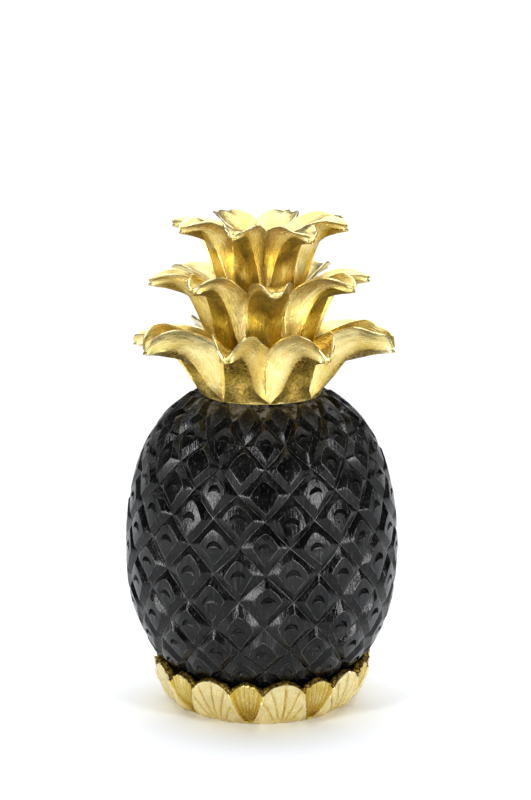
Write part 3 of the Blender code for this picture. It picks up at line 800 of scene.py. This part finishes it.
def build_leaf(name, tier, leaf, left_gap, right_gap, seed):
    """One curling leaf as a closed mesh, its flanks hollowed and its faces worked by hand."""
    grid, t, across = leaf_points(tier, leaf, left_gap, right_gap)
    normals = grid_normals(grid)
    free = smoothstep(*COMES_FREE, t)
    push = np.zeros(grid.shape[:2])
    for k, (kind, arch, _, _) in enumerate(across):
        if kind == FLANK:
            push[:, k] = -FLANK_HOLLOW * arch * (FLANK_HOLLOW_AT_FOOT + (1.0 - FLANK_HOLLOW_AT_FOOT) * free)
        elif kind == EDGE:
            push[:, k] = EDGE_ROUNDING * arch
        elif kind == INSIDE:
            push[:, k] = -INSIDE_HOLLOW * arch
    grid = grid + normals * push[:, :, None]
    azimuth = radians(leaf[0])
    outward = np.array((sin(azimuth), -cos(azimuth), 0.0))
    sideways = np.array((cos(azimuth), sin(azimuth), 0.0))
    upward = np.array((0.0, 0.0, 1.0))
    world = grid[..., 0:1] * outward + grid[..., 1:2] * sideways + grid[..., 2:3] * upward
    turned = normals[..., 0:1] * outward + normals[..., 1:2] * sideways + normals[..., 2:3] * upward
    flat = world.reshape(-1, 3)
    rough = lumps(flat, LEAF_LUMPS, seed).reshape(grid.shape[:2])
    recess = np.array([1.0 if row[0] == RECESS else 0.0 for row in across])
    coarse = lumps(flat, RECESS_LUMPS, seed).reshape(grid.shape[:2])
    rough = rough + coarse * recess[None, :] * (1.0 - free)[:, None]
    foot = smoothstep(0.0, FOOT_BLEND, t)[:, None]
    world = world + turned * (rough * foot)[:, :, None]
    stations, around = grid.shape[:2]
    faces = []
    for s in range(stations - 1):
        for k in range(around):
            following = (k + 1) % around
            faces.append((s * around + k, s * around + following,
                          (s + 1) * around + following, (s + 1) * around + k))
    faces.append(list(range(around))[::-1])
    faces.append([(stations - 1) * around + k for k in range(around)])
    piece = new_piece(name, world.reshape(-1, 3), faces, leaf_values(t, across, seed, tier))
    builder = bmesh.new()
    builder.from_mesh(piece.data)
    bmesh.ops.triangulate(builder, faces=builder.faces)
    bmesh.ops.recalc_face_normals(builder, faces=builder.faces)
    builder.to_mesh(piece.data)
    builder.free()
    return piece


def upright_strokes(points):
    """Places in brush strokes that run up and down a round piece, mirrored at front and back."""
    points = np.array(points)
    angle = np.arctan2(points[:, 0], -points[:, 1])
    across, along = UPRIGHT_STROKES
    return {"stroke_across": across * np.abs(angle) * np.hypot(points[:, 0], points[:, 1]).max(),
            "stroke_along": along * points[:, 2]}


def build_stub():
    """Turned core of the crown that all leaves grow from."""
    points = []
    for k in range(STUB_STEPS):
        angle = 2.0 * pi * k / STUB_STEPS
        points += [(r * cos(angle), r * sin(angle), z) for r, z in CROWN_STUB[1:-1]]
    per = len(CROWN_STUB) - 2
    faces = []
    for k in range(STUB_STEPS):
        a, b = k * per, ((k + 1) % STUB_STEPS) * per
        faces += [(a + j, b + j, b + j + 1, a + j + 1) for j in range(per - 1)]
    faces.append([k * per for k in range(STUB_STEPS)])
    faces.append([k * per + per - 1 for k in range(STUB_STEPS)])
    count = len(points)
    # The stub stands deep among the leaves and gets ochre and brown painted shade all over
    values = {"recess_shade": np.full(count, 0.9), "shade_and_soil": np.full(count, 0.5), "painted_highlight": np.zeros(count)}
    values.update(upright_strokes(points))
    stub = new_piece("gold_crown", points, faces, values)
    face_outwards(stub)
    return stub


def build_crown(material):
    """Three tiers of eight leaves united with the stub."""
    crown = build_stub()
    leaves_apart = bpy.data.collections.new("leaves_before_union")
    bpy.context.scene.collection.children.link(leaves_apart)
    seed = 3
    made = []
    for tier_name, tier in TIERS.items():
        leaves = tier["leaves"]
        for k, leaf in enumerate(leaves):
            before = (leaf[0] - leaves[k - 1][0]) % 360
            after = (leaves[(k + 1) % len(leaves)][0] - leaf[0]) % 360
            piece = build_leaf(f"leaf_{tier_name}_{k}", tier, leaf, before, after, seed)
            bpy.context.scene.collection.objects.unlink(piece)
            leaves_apart.objects.link(piece)
            made.append(piece)
            seed += 1
    union = crown.modifiers.new("leaves", "BOOLEAN")
    union.operation = "UNION"
    union.operand_type = "COLLECTION"
    union.collection = leaves_apart
    union.solver = "MANIFOLD"
    evaluated = crown.evaluated_get(bpy.context.evaluated_depsgraph_get())
    united = bpy.data.meshes.new_from_object(evaluated)
    crown.modifiers.clear()
    crown.data = united
    for piece in made:
        bpy.data.objects.remove(piece)
    bpy.data.collections.remove(leaves_apart)
    finish_piece(crown, "leaf_crown", material, 42.0)
    return crown


def v_groove(distance, width):
    """Depth of a V-shaped groove: 1 along its bottom, 0 beyond its width."""
    return np.clip(1.0 - np.abs(distance) / width, 0.0, 1.0)


def cup_rim(turn):
    """Heights of the wall's top and of the gold leaf's edge at one place of a leaf pair."""
    if turn < SMALL_LEAF_SHARE:
        across, peak = 2.0 * turn / SMALL_LEAF_SHARE - 1.0, SMALL_PEAK_Z
    else:
        across, peak = 2.0 * (turn - SMALL_LEAF_SHARE) / (1.0 - SMALL_LEAF_SHARE) - 1.0, BROAD_PEAK_Z
    top = RIM_NOTCH_Z + (peak - RIM_NOTCH_Z) * (1.0 - abs(across) ** CUP_ARCH_POWER)
    middle, notch = GOLD_BELOW_RIM
    return top, top - middle - (notch - middle) * across ** 4


def fan_relief(side, up):
    """Small leaf: a fan of pleats that stands proud at the rim and sinks to a point at the foot."""
    pleats = 2.0 * np.abs((side * FAN_PLEATS + 0.5) % 1.0 - 0.5)
    open_fan = smoothstep(*FAN_OPENS, up) * (1.0 - FAN_SIDE_DROP * side ** 2)
    sunk = -FAN_RECESS * (1.0 - smoothstep(*FAN_RISES, up)) * smoothstep(*FAN_SINKS, up)
    relief = sunk + FAN_RISE * open_fan - PLEAT_DEPTH * pleats * smoothstep(*PLEATS_START, up)
    foot, less_open, more_pleat = FAN_SHADE
    # The second number returned is ochre painted shade
    return relief, np.clip(foot - less_open * open_fan + more_pleat * pleats, 0.0, 1.0)


def broad_relief(distance, edge_distance, up, bend):
    """Broad leaf: bulging, with a raised edge, a central vein and veins that lean out from it."""
    rising = smoothstep(0.0, 0.4, up)
    relief = BROAD_BULGE * np.sin(0.5 * pi * np.clip(edge_distance / BULGE_REACH, 0.0, 1.0)) * rising
    relief = relief + LIP_RISE * raised_line(edge_distance - LIP_PLACE, LIP_WIDTH) * rising
    sway = bend * np.sin(2.4 * up)
    strength = smoothstep(0.05, 0.30, up) * (1.0 - 0.6 * smoothstep(0.85, 1.0, up))
    grooves = np.zeros(len(up))
    for start, lean in VEINS:
        line = start + lean * up ** VEIN_SWEEP + sway
        grooves = np.maximum(grooves, v_groove(distance - line, VEIN_WIDTH) * strength)
    rib = raised_line(distance - sway - RIB_PLACE, RIB_WIDTH) * smoothstep(0.1, 0.4, up)
    return relief + RIB_RISE * rib - VEIN_DEPTH * grooves, grooves


def cup_column(turn, pair):
    """Outside, rim and inside of the cup at one place of a leaf pair, as rows of numbers: radius,
    height, ochre painted shade, brown painted shade and soil, and painted highlight."""
    top, gold_top = cup_rim(turn)
    up = np.linspace(0.0, 1.0, CUP_ROWS)
    outline = curve_through(CUP_OUTLINE, up)
    pitch = 2.0 * pi * CUP_OUTLINE[-1][0] / LEAF_PAIRS
    from_middle = (turn - 0.5 * SMALL_LEAF_SHARE + 0.5) % 1.0 - 0.5
    opened = np.clip((up - FAN_START) / (1.0 - FAN_START), 0.0, 1.0)
    half_width = 0.5 * SMALL_LEAF_SHARE * opened ** FAN_WIDENING
    edge_distance = (abs(from_middle) - half_width) * pitch
    side = np.clip(from_middle / np.maximum(half_width, 0.01), -1.0, 1.0)
    distance = ((turn - SMALL_LEAF_SHARE) / (1.0 - SMALL_LEAF_SHARE) - 0.5) * (1.0 - SMALL_LEAF_SHARE) * pitch
    bend = VEIN_BEND * sin(2.3 * pair + 0.8)
    broad, grooves = broad_relief(distance, edge_distance, up, bend)
    fan, fan_ochre_shade = fan_relief(side, up)
    in_fan = smoothstep(0.25, -0.25, edge_distance)
    radius = outline[:, 0] + broad * (1.0 - in_fan) + fan * in_fan + RIM_FLARE * up ** 3
    height = outline[:, 1] + (gold_top - CUP_OUTLINE[-1][1]) * up
    # Ochre painted shade in the veins and the small leaf, brown painted shade at its foot, painted highlight
    # on the raised edge and the upper face
    recess_shade = np.clip(0.6 * grooves * (1.0 - in_fan) + fan_ochre_shade * in_fan, 0.0, 1.0)
    shade_and_soil = FAN_FOOT_SHADE * in_fan * (1.0 - up) ** 2
    face = FACE_HIGHLIGHT * (1.0 - in_fan) * (1.0 - grooves)
    lip = raised_line(edge_distance - LIP_PLACE, LIP_HIGHLIGHT_WIDTH)
    highlight_share = np.maximum(lip, face) * smoothstep(*HIGHLIGHT_STARTS, up)
    rows = list(zip(radius, height, recess_shade, shade_and_soil, highlight_share))
    for inwards, share, upwards, row_ochre_shade, row_shade_and_soil, row_highlight in RIM_ROWS:
        rows.append((radius[-1] - inwards, gold_top + (top - gold_top) * share + upwards,
                     row_ochre_shade, row_shade_and_soil, row_highlight))
    start_r, start_z = rows[-1][:2]
    # The cup's inside, behind the fruit, gets full ochre and brown painted shade
    for share in np.linspace(0.0, 1.0, INSIDE_ROWS + 1)[1:]:
        rows.append((start_r + (CUP_INSIDE[0] - start_r) * share, start_z + (CUP_INSIDE[1] - start_z) * share,
                     1.0, 1.0, 0.0))
    rows.append((*CUP_FLOOR, 1.0, 1.0, 0.0))
    return rows


def build_cup(material):
    """Low flared cup of broad leaves with a small pleated leaf in each gap between them."""
    total = LEAF_PAIRS * CUP_COLUMNS_PER_PAIR
    start = FRONT + radians(SMALL_LEAF_AZIMUTH) - pi * SMALL_LEAF_SHARE / LEAF_PAIRS
    points, traits = [], []
    for k in range(total):
        angle = start + 2.0 * pi * k / total
        pair, column = divmod(k, CUP_COLUMNS_PER_PAIR)
        rows = cup_column(column / CUP_COLUMNS_PER_PAIR, pair)
        points += [(row[0] * cos(angle), row[0] * sin(angle), row[1]) for row in rows]
        traits += [row[2:] for row in rows]
    points = np.array(points)
    per = len(points) // total
    level = np.tile(np.arange(per), total)
    rim = (level >= CUP_ROWS + 2) & (level < CUP_ROWS + len(RIM_ROWS))
    free = (level > 1) & (level < CUP_ROWS + len(RIM_ROWS))
    rough = lumps(points, CUP_LUMPS) * free + lumps(points, RIM_LUMPS) * rim
    radial = points[:, :2] / np.linalg.norm(points[:, :2], axis=1)[:, None]
    points[:, :2] += radial * rough[:, None]
    wander = lumps(points * np.array((1.0, 1.0, 0.0)), RIM_WANDER)
    points[:, 2] += wander * smoothstep(CUP_ROWS - RIM_WANDER_ROWS, CUP_ROWS, level) * free
    points[:, 2] += lumps(points, RIM_RAGGED) * rim
    azimuth = np.degrees(np.arctan2(points[:, 0], -points[:, 1]))
    gap_azimuth, gap_width, gap_depth = RIM_GAP
    gap = gap_depth * raised_line(azimuth - gap_azimuth, gap_width)
    points[:, 2] -= gap * smoothstep(CUP_ROWS - RIM_GAP_ROWS, CUP_ROWS, level) * free
    faces = []
    for k in range(total):
        a, b = k * per, ((k + 1) % total) * per
        faces += [(a + j, b + j, b + j + 1, a + j + 1) for j in range(per - 1)]
    faces.append([k * per for k in range(total)])
    faces.append([k * per + per - 1 for k in range(total)])
    values = dict(zip(("recess_shade", "shade_and_soil", "painted_highlight"), np.array(traits).T))
    values.update(upright_strokes(points))
    cup = new_piece("gold_cup", points, faces, values)
    face_outwards(cup)
    finish_piece(cup, "leaf_cup", material, 50.0)
    return cup


def build_floor():
    """Plain white floor."""
    bpy.ops.mesh.primitive_plane_add(size=FLOOR_SIZE, location=(0.0, 0.0, 0.0))
    floor = bpy.context.active_object
    floor.name = "floor"
    n = Nodes("white_floor")
    soft = n.noise(n.place, 3.0, 2.0, 0.5)
    n.feed(n.shader.inputs["Base Color"], n.mix(soft, rgb(0.865, 0.89, 0.925), rgb(0.885, 0.91, 0.945)))
    n.shader.inputs["Roughness"].default_value = 0.8
    n.shader.inputs["Specular IOR Level"].default_value = 0.1
    floor.data.materials.append(n.material)


def area_light(name, place, size, power):
    """Softbox that faces the middle of the pineapple."""
    data = bpy.data.lights.new(name, "AREA")
    data.shape = "RECTANGLE"
    data.size, data.size_y = size
    data.energy = power
    light = bpy.data.objects.new(name, data)
    light.location = place
    aim = Vector((0.0, 0.0, 0.12)) - Vector(place)
    light.rotation_euler = aim.to_track_quat("-Z", "Y").to_euler()
    bpy.context.scene.collection.objects.link(light)


def build_lights():
    """Dim studio with a wide light above and behind, and a softbox at each side of the camera."""
    world = bpy.data.worlds.new("studio")
    world.use_nodes = True
    background = world.node_tree.nodes["Background"]
    background.inputs["Color"].default_value = rgb(0.88, 0.94, 1.0)
    background.inputs["Strength"].default_value = WORLD_STRENGTH
    bpy.context.scene.world = world
    sun = bpy.data.lights.new("overhead", "SUN")
    sun.energy = SUN_STRENGTH
    sun.angle = radians(SUN_WIDTH)
    above = bpy.data.objects.new("overhead", sun)
    above.rotation_euler = (radians(SUN_TILT), 0.0, 0.0)
    bpy.context.scene.collection.objects.link(above)
    x, y, z = SOFTBOX_PLACE
    area_light("left_softbox", (-x, y, z), SOFTBOX_SIZE, SOFTBOX_POWER)
    area_light("right_softbox", (x, y, z), SOFTBOX_SIZE, SOFTBOX_POWER)


def build_camera():
    data = bpy.data.cameras.new("camera")
    data.sensor_fit = "AUTO"
    data.sensor_width = CAMERA_SENSOR
    data.lens = CAMERA_FOCAL
    data.clip_start = 0.05
    data.clip_end = 100.0
    camera = bpy.data.objects.new("camera", data)
    camera.location = [value * MM for value in CAMERA_PLACE]
    camera.rotation_euler = (radians(90.0 - CAMERA_PITCH), 0.0, 0.0)
    bpy.context.scene.collection.objects.link(camera)
    bpy.context.scene.camera = camera


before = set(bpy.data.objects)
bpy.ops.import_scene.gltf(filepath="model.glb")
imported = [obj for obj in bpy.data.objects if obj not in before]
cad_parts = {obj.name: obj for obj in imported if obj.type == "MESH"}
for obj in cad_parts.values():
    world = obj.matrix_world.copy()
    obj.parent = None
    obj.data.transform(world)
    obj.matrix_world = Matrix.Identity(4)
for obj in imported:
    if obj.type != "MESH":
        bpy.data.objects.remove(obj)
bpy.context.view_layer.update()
bpy.context.scene.view_settings.view_transform = "Standard"
build_camera()
build_lights()
build_floor()
gold = gold_paint()
build_fruit(black_lacquer())
build_crown(gold)
build_cup(gold)
